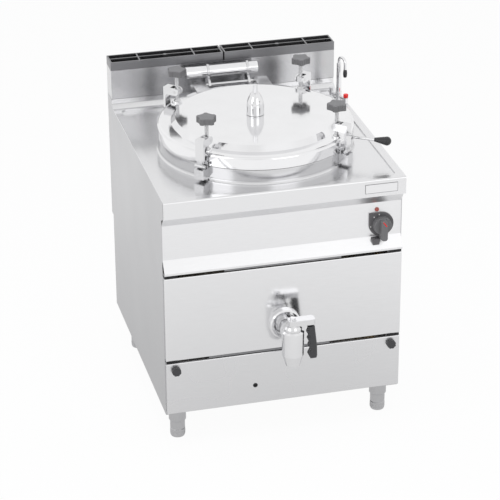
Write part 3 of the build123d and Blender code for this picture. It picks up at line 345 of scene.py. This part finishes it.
lookOf = {
    "worktop": "steelTop", "left_side_panel": "steelSideShaded", "right_side_panel": "steelSideShaded",
    "back_panel": "steelBack", "base_frame": "steelFrame", "control_fascia": "steelFascia",
    "front_panel": "steelDoor", "lower_panel": "steelLower", "flue_upstand": "steelFlue",
    "flue_grilles": "steelGrille", "kettle_pan": "steelPan", "catch_lugs": "polishClamp",
    "steam_jacket": "steelInner", "jacket_lagging": "lagFibre", "burner": "ironDark",
    "combustion_chamber": "steelInner", "drain_pipe": "steelPan", "drain_flange": "polishValve",
    "drain_valve_body": "polishValve", "drain_lever": "polishClamp", "drain_grip": "plasticGrip",
    "lid_shell": "polishLid", "lid_gasket": "rubberSeal", "safety_valve_bell": "polishBell",
    "lid_handle_rod": "polishClamp", "lid_handle_grip": "plasticHandle", "clamp_nuts": "steelScrew",
    "hinge_brackets": "steelHinge", "hinge_axle": "steelScrew", "spring_tube": "polishTube",
    "lid_arms": "steelHinge", "water_tap": "polishTap", "water_spout": "polishTap",
    "spout_nozzle": "plasticHandle", "hot_tap_knob": "plasticRed", "cold_tap_knob": "polishTap",
    "gas_train": "brassGas", "knob_bezel": "plasticDial", "control_knob": "plasticKnob",
    "pilot_light": "lensRed", "igniter_button": "plasticDial", "leg_sockets": "steelLegShaded",
    "thumb_knob_left": "plasticGrip", "thumb_knob_right": "plasticGrip",
}
for corner in ("fl", "fr", "rl", "rr"):
    lookOf["clamp_hook_" + corner] = "polishClamp"
    lookOf["clamp_screw_" + corner] = "steelScrew"
    lookOf["clamp_knob_" + corner] = "plasticKnob"
    lookOf["foot_" + corner] = "steelLegShaded"
for node, name in lookOf.items():
    mesh = nodes[node].data
    mesh.materials.clear()
    mesh.materials.append(look[name])
print("materials on", len(lookOf), "nodes")

# floor: white where it is seen; to all other rays it glows, greyer close to the kettle as painted shade
# where metal mirrors it
floorValues = {
    "size": 80.0,
    "color": (0.92, 0.92, 0.92),
    "roughness": 0.9,
    "share": 0.96,
    "shadeNear": 0.73,
    "mirrorFar": 1.0,
    "under": 0.4,
    "reach": 2.0,
}


def makeFloor(values):
    shape = bmesh.new()
    bmesh.ops.create_grid(shape, x_segments=2, y_segments=2, size=values["size"] / 2)
    mesh = bpy.data.meshes.new("floor")
    shape.to_mesh(mesh)
    shape.free()
    floor = bpy.data.objects.new("floor", mesh)
    bpy.context.scene.collection.objects.link(floor)
    material, tree, surface = startMaterial("floorWhite", values["color"], 0.0, values["roughness"])
    surface.inputs["Specular IOR Level"].default_value = 0.0
    shown = tree.nodes.new("ShaderNodeEmission")
    shown.inputs["Strength"].default_value = 1.0
    seen = tree.nodes.new("ShaderNodeMixShader")
    seen.inputs["Fac"].default_value = values["share"]
    place = tree.nodes.new("ShaderNodeTexCoord")
    away = tree.nodes.new("ShaderNodeVectorMath")
    away.operation = "LENGTH"
    ramp = tree.nodes.new("ShaderNodeMapRange")
    ramp.inputs["From Min"].default_value = values["under"]
    ramp.inputs["From Max"].default_value = values["reach"]
    ramp.inputs["To Min"].default_value = values["shadeNear"]
    ramp.inputs["To Max"].default_value = values["mirrorFar"]
    # glow for all but camera rays, dimmed near the kettle as painted contact shade
    mirrored = tree.nodes.new("ShaderNodeEmission")
    ray = tree.nodes.new("ShaderNodeLightPath")
    mix = tree.nodes.new("ShaderNodeMixShader")
    out = tree.nodes["Material Output"]
    tree.links.new(place.outputs["Object"], away.inputs[0])
    tree.links.new(away.outputs["Value"], ramp.inputs["Value"])
    tree.links.new(ramp.outputs["Result"], mirrored.inputs["Strength"])
    tree.links.new(surface.outputs["BSDF"], seen.inputs[1])
    tree.links.new(shown.outputs["Emission"], seen.inputs[2])
    tree.links.new(ray.outputs["Is Camera Ray"], mix.inputs["Fac"])
    tree.links.new(mirrored.outputs["Emission"], mix.inputs[1])
    tree.links.new(seen.outputs["Shader"], mix.inputs[2])
    tree.links.new(mix.outputs["Shader"], out.inputs["Surface"])
    mesh.materials.append(material)


makeFloor(floorValues)
print("floor set")


def finishPiece(shape, name, material, body, smooth=True):
    bmesh.ops.recalc_face_normals(shape, faces=shape.faces)
    mesh = bpy.data.meshes.new(name)
    shape.to_mesh(mesh)
    shape.free()
    for face in mesh.polygons:
        face.use_smooth = smooth
    mesh.materials.append(look[material])
    piece = bpy.data.objects.new(name, mesh)
    bpy.context.scene.collection.objects.link(piece)
    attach(piece, body)


def facing(point, direction):
    turn = Vector(direction).to_track_quat("Z", "Y").to_matrix().to_4x4()
    return Matrix.Translation(Vector(point) / 1000) @ turn


mergeDistance = 0.00001


def roundOff(shape, edges, edge):
    bmesh.ops.bevel(
        shape, geom=edges, offset=edge / 1000, segments=2, profile=0.5, affect="EDGES", material=-1,
    )


def turnRound(shape, outline, center, axis, steps):
    bmesh.ops.spin(
        shape, geom=outline, cent=center, axis=axis, angle=math.tau, steps=steps, use_merge=True,
    )
    bmesh.ops.remove_doubles(shape, verts=shape.verts, dist=mergeDistance)


def addPrism(shape, sides, radius, height, place, edge):
    made = bmesh.ops.create_cone(
        shape, cap_ends=True, segments=sides, radius1=radius / 1000, radius2=radius / 1000,
        depth=height / 1000, matrix=place @ Matrix.Translation((0, 0, height / 2000)),
    )
    rims = [e for v in made["verts"] for e in v.link_edges if len(e.link_faces) == 2]
    caps = [e for e in set(rims) if max(len(f.verts) for f in e.link_faces) == sides]
    roundOff(shape, caps, edge)


def addBlock(shape, low, high, edge):
    size = [(b - a) / 1000 for a, b in zip(low, high)]
    middle = Vector([(a + b) / 2000 for a, b in zip(low, high)])
    place = Matrix.Translation(middle) @ Matrix.Diagonal((*size, 1))
    made = bmesh.ops.create_cube(shape, size=1.0, matrix=place)
    roundOff(shape, list({e for v in made["verts"] for e in v.link_edges}), edge)


def addRing(shape, point, direction, radius, thick, steps=48):
    place = facing(point, direction)
    side = place.to_3x3() @ Vector((1, 0, 0))
    axis = place.to_3x3() @ Vector((0, 0, 1))
    center = place.translation
    flat = side.cross(axis)
    turn = Matrix((side, axis, flat)).transposed().to_4x4()
    start = Matrix.Translation(center + side * radius / 1000) @ turn
    made = bmesh.ops.create_circle(shape, segments=10, radius=thick / 1000, matrix=start)
    loop = list({e for v in made["verts"] for e in v.link_edges})
    turnRound(shape, made["verts"] + loop, center, axis, steps)


def addWasher(shape, point, direction, inner, outer, thick, steps=64):
    place = facing(point, direction)
    center = place.translation
    side = place.to_3x3() @ Vector((1, 0, 0))
    axis = place.to_3x3() @ Vector((0, 0, 1))
    corners = ((inner, 0), (outer, 0), (outer, thick), (inner, thick))
    points = [shape.verts.new(center + side * r / 1000 + axis * h / 1000) for r, h in corners]
    edges = [shape.edges.new((points[k], points[(k + 1) % 4])) for k in range(4)]
    turnRound(shape, points + edges, center, axis, steps)


# dial: white dots on the gas knob's bezel, red pointer across the top of its bar
dialValues = {
    "center": (330, 724),
    "face": -357.9,
    "dot": 2.3,
    "height": 0.5,
    "edge": 0.12,
    "dots": ((-98, 37.2), (-42, 38.0), (-13, 37.2)),
}
pointerValues = {
    "start": (323.6, 749),
    "end": (336.4, 732),
    "ahead": -600,
    "width": 3.4,
    "lift": 0.3,
    "sink": 0.1,
    "parts": 8,
}


def makeDial(values):
    shape = bmesh.new()
    x, z = values["center"]
    for angle, radius in values["dots"]:
        a = math.radians(angle)
        point = (x + radius * math.sin(a), values["face"], z + radius * math.cos(a))
        addPrism(shape, 24, values["dot"], values["height"], facing(point, (0, -1, 0)), values["edge"])
    finishPiece(shape, "dialDots", "markWhite", "cabinet")


def makePointer(values):
    knob = nodes["control_knob"]
    away = knob.matrix_world.inverted()
    start = Vector(values["start"])
    along = Vector(values["end"]) - start
    across = Vector((along.y, -along.x)).normalized() * values["width"] / 2
    shape = bmesh.new()
    rows = []
    for step in range(values["parts"] + 1):
        middle = start + along * step / values["parts"]
        row = []
        for side in (-1, 1):
            x, z = middle + across * side
            origin = Vector((x, values["ahead"], z)) / 1000
            hit, point, _, _ = knob.ray_cast(away @ origin, away.to_3x3() @ Vector((0, 1, 0)))
            if hit:
                front = knob.matrix_world @ point
                row.append(shape.verts.new(front + Vector((0, -values["lift"] / 1000, 0))))
                row.append(shape.verts.new(front + Vector((0, values["sink"] / 1000, 0))))
        if len(row) == 4:
            rows.append(row)
    for one, two in zip(rows, rows[1:]):
        for a, b in ((0, 2), (2, 3), (3, 1), (1, 0)):
            shape.faces.new((one[a], one[b], two[b], two[a]))
    for row in (rows[0], rows[-1]):
        shape.faces.new((row[0], row[2], row[3], row[1]))
    finishPiece(shape, "dialPointer", "plasticRed", "gas_knob", False)


makeDial(dialValues)
makePointer(pointerValues)
print("dial marked")

# badge: bare plate on the front band
badgeValues = {
    "low": (262, -390.8, 853),
    "high": (372, -389.9, 885),
    "border": 1.6,
    "rise": 0.5,
    "sink": 0.2,
    "edge": 0.2,
}


def makeBadge(values):
    low, high = values["low"], values["high"]
    border = values["border"]
    shape = bmesh.new()
    addBlock(shape, low, high, values["edge"])
    finishPiece(shape, "badgeEdge", "steelGrille", "cabinet", False)
    face = bmesh.new()
    inLow = (low[0] + border, low[1] - values["rise"], low[2] + border)
    inHigh = (high[0] - border, low[1] + values["sink"], high[2] - border)
    addBlock(face, inLow, inHigh, values["edge"])
    finishPiece(face, "badgeFace", "steelFascia", "cabinet", False)


makeBadge(badgeValues)
print("badge placed")

# clamp screws: rolled thread on the lengths that show
threadValues = {
    "orbit": 306,
    "root": 5.9,
    "crest": 6.6,
    "pitch": 2.0,
    "lifts": (0, 0.9, 1.8),
    "steps": 20,
    "runs": ((996, 1012), (1040, 1078)),
}
clampAngles = {"fl": 225, "fr": 315, "rl": 135, "rr": 45}


def makeThread(corner, angle, values):
    profile = tuple(zip((values["root"], values["crest"], values["root"]), values["lifts"]))
    shape = bmesh.new()
    x = values["orbit"] * math.cos(math.radians(angle))
    y = values["orbit"] * math.sin(math.radians(angle))
    for low, high in values["runs"]:
        turns = int((high - low) / values["pitch"])
        rows = []
        for step in range(turns * values["steps"] + 1):
            a = math.tau * step / values["steps"]
            z = low + values["pitch"] * step / values["steps"]
            row = []
            for radius, lift in profile:
                place = Vector((x + radius * math.cos(a), y + radius * math.sin(a), z + lift)) / 1000
                row.append(shape.verts.new(place))
            rows.append(row)
        for one, two in zip(rows, rows[1:]):
            for k in range(3):
                n = (k + 1) % 3
                shape.faces.new((one[k], two[k], two[n], one[n]))
        shape.faces.new(rows[0])
        shape.faces.new(rows[-1])
    finishPiece(shape, "thread_" + corner, "steelScrew", "screw_" + corner)


for corner, angle in clampAngles.items():
    makeThread(corner, angle, threadValues)
print("threads cut")

# bolts: hexagon heads on washers, through the hinge feet
boltValues = {
    "feet": (-70, 70),
    "middle": 363,
    "across": 15,
    "along": 18,
    "seat": 901.0,
    "washer": 6.6,
    "lift": 1.2,
    "washerEdge": 0.2,
    "head": 5.2,
    "height": 4.6,
    "headEdge": 0.5,
}


def makeHingeBolts(values):
    shape = bmesh.new()
    for foot in values["feet"]:
        for x in (foot - values["across"], foot + values["across"]):
            for y in (values["middle"] - values["along"], values["middle"] + values["along"]):
                seat = facing((x, y, values["seat"]), (0, 0, 1))
                above = facing((x, y, values["seat"] + values["lift"]), (0, 0, 1))
                addPrism(shape, 28, values["washer"], values["lift"], seat, values["washerEdge"])
                addPrism(shape, 6, values["head"], values["height"], above, values["headEdge"])
    finishPiece(shape, "hingeBolts", "steelScrew", "cabinet", False)


makeHingeBolts(boltValues)
print("hinge bolts set")

# draw-off tap: nut on the lever's pivot
pivotValues = {
    "center": (0, -473),
    "top": 477.4,
    "washer": 12.5,
    "lift": 1.4,
    "washerEdge": 0.3,
    "radius": 9.5,
    "height": 6.0,
    "nutEdge": 0.8,
}


def makePivotNut(values):
    shape = bmesh.new()
    x, y = values["center"]
    seat = facing((x, y, values["top"]), (0, 0, 1))
    above = facing((x, y, values["top"] + values["lift"]), (0, 0, 1))
    addPrism(shape, 28, values["washer"], values["lift"], seat, values["washerEdge"])
    addPrism(shape, 6, values["radius"], values["height"], above, values["nutEdge"])
    finishPiece(shape, "pivotNut", "polishValve", "drain_handle", False)


makePivotNut(pivotValues)
print("pivot nut set")

# rings: grommet in the lower panel, seam of the bell
ringValues = {
    "grommet": {"at": (-100, -373.3, 195), "axis": (0, -1, 0), "radius": 6.6, "thick": 1.5,
                "look": "plasticGrip", "body": "cabinet", "slot": "steel_lower"},
    "bellSeam": {"at": (0, 0, 1012), "axis": (0, 0, 1), "radius": 28.6, "thick": 0.9,
                 "look": "polishBell", "body": "safety_bell", "slot": "bell_chrome"},
}


def makeRings(values):
    for name, one in values.items():
        shape = bmesh.new()
        addRing(shape, one["at"], one["axis"], one["radius"], one["thick"])
        finishPiece(shape, name, one["look"], one["body"])


makeRings(ringValues)
print("rings set")

# flange: packing washer that closes its bore round the valve's neck
washerValues = {"at": (0, -375, 415), "inner": 25.2, "outer": 33.6, "thick": 5.0}


def makePacking(values):
    shape = bmesh.new()
    addWasher(shape, values["at"], (0, -1, 0), values["inner"], values["outer"], values["thick"])
    finishPiece(shape, "packingWasher", "polishValve", "cabinet", False)


makePacking(washerValues)
print("packing washer set")

# hole: black disc behind the grommet, painted shade inside the hole
shadeDiscValues = {"at": (-100, -371.5, 195), "radius": 5.3, "thick": 1.0, "edge": 0.2}


def makeShadeDisc(values):
    shape = bmesh.new()
    addPrism(shape, 32, values["radius"], values["thick"], facing(values["at"], (0, -1, 0)), values["edge"])
    finishPiece(shape, "holeShadeDisc", "shadeBlack", "cabinet")


makeShadeDisc(shadeDiscValues)
print("hole plug set")

# back: water inlet stubs in their holes, screws along the lower step
stubValues = {
    "places": ((270, 220), (270, 260)),
    "from": 462.0,
    "length": 26.0,
    "radius": 10.2,
    "bore": 7.0,
    "overlap": 0.3,
    "floor": 2.0,
    "edge": 0.3,
}
screwValues = {
    "xs": (-384, 384),
    "zs": (140, 290, 440),
    "face": 485.0,
    "radius": 4.6,
    "height": 1.8,
    "edge": 0.8,
}


def makeStubs(values):
    shape = bmesh.new()
    for x, z in values["places"]:
        point = (x, values["from"], z)
        addWasher(shape, point, (0, 1, 0), values["bore"], values["radius"], values["length"])
        inside = values["bore"] + values["overlap"]
        addPrism(shape, 32, inside, values["floor"], facing(point, (0, 1, 0)), values["edge"])
    finishPiece(shape, "waterStubs", "brassGas", "cabinet", False)


def makeBackScrews(values):
    shape = bmesh.new()
    for x in values["xs"]:
        for z in values["zs"]:
            place = facing((x, values["face"], z), (0, 1, 0))
            addPrism(shape, 28, values["radius"], values["height"], place, values["edge"])
    finishPiece(shape, "backScrews", "steelScrew", "cabinet")


makeStubs(stubValues)
makeBackScrews(screwValues)
print("back fitted")

# gaps above and below the door: return flanges in the middle, their dark grey partly painted shade; black
# blocks at both ends, painted shade in the gap
gapValues = {
    "gapStrips": {
        "look": "steelGrille",
        "blocks": (((-200, -369, 626.2), (192, -364, 633.6)), ((-255, -369, 315.8), (155, -364, 322.2))),
    },
    "gapEndShade": {
        "look": "shadeBlack",
        "blocks": (
            ((-396, -371.5, 625), (-355, -370, 635)), ((355, -371.5, 625), (396, -370, 635)),
            ((-396, -371.5, 315), (-355, -370, 323)), ((355, -371.5, 315), (396, -370, 323)),
        ),
    },
    "edge": 0.3,
}


def makeGaps(values):
    for name in ("gapStrips", "gapEndShade"):
        shape = bmesh.new()
        for low, high in values[name]["blocks"]:
            addBlock(shape, low, high, values["edge"])
        finishPiece(shape, name, values[name]["look"], "cabinet", False)


makeGaps(gapValues)
print("gaps set")

# feet: turned grip rings low on each foot
footValues = {
    "places": {"fl": (-350, -296), "fr": (350, -296), "rl": (-350, 350), "rr": (350, 350)},
    "radius": 24.9,
    "thick": 0.7,
    "heights": (12, 17, 22),
}


def makeFootRings(values):
    for corner, (x, y) in values["places"].items():
        shape = bmesh.new()
        for z in values["heights"]:
            addRing(shape, (x, y, z), (0, 0, 1), values["radius"], values["thick"])
        finishPiece(shape, "footRings_" + corner, "steelLegShaded", "toe_" + corner)


makeFootRings(footValues)
print("foot rings set")

# handle: lock nut where the rod leaves its boss
nutValues = {"angle": -33.0, "from": 335.2, "height": 966.5, "radius": 8.6, "length": 4.2, "edge": 0.5}


def makeHandleNut(values):
    a = math.radians(values["angle"])
    out = (math.cos(a), math.sin(a), 0)
    point = (values["from"] * out[0], values["from"] * out[1], values["height"])
    shape = bmesh.new()
    addPrism(shape, 6, values["radius"], values["length"], facing(point, out), values["edge"])
    finishPiece(shape, "handleNut", "steelScrew", "lid", False)


makeHandleNut(nutValues)
print("handle nut set")

# strainer: disc over the drain in the pan's floor, its pierced holes drawn as black dots of painted shade
strainerValues = {
    "radius": 19.6,
    "thick": 1.6,
    "height": 468.4,
    "edge": 0.3,
    "rings": ((7, 6), (13.5, 12)),
    "hole": 1.9,
    "depth": 0.3,
    "holeHeight": 0.45,
    "holeEdge": 0.08,
}


def makeStrainer(values):
    shape = bmesh.new()
    seat = facing((0, 0, values["height"]), (0, 0, 1))
    addPrism(shape, 48, values["radius"], values["thick"], seat, values["edge"])
    finishPiece(shape, "strainerDisc", "steelPan", "cabinet")
    # black dots as painted shade where the holes are
    shadeDots = bmesh.new()
    top = values["height"] + values["thick"] - values["depth"]
    for radius, count in values["rings"]:
        for step in range(count):
            a = math.tau * step / count
            place = facing((radius * math.cos(a), radius * math.sin(a), top), (0, 0, 1))
            addPrism(shadeDots, 16, values["hole"], values["holeHeight"], place, values["holeEdge"])
    finishPiece(shadeDots, "strainerHoleShade", "shadeBlack", "cabinet")


makeStrainer(strainerValues)
print("strainer set")
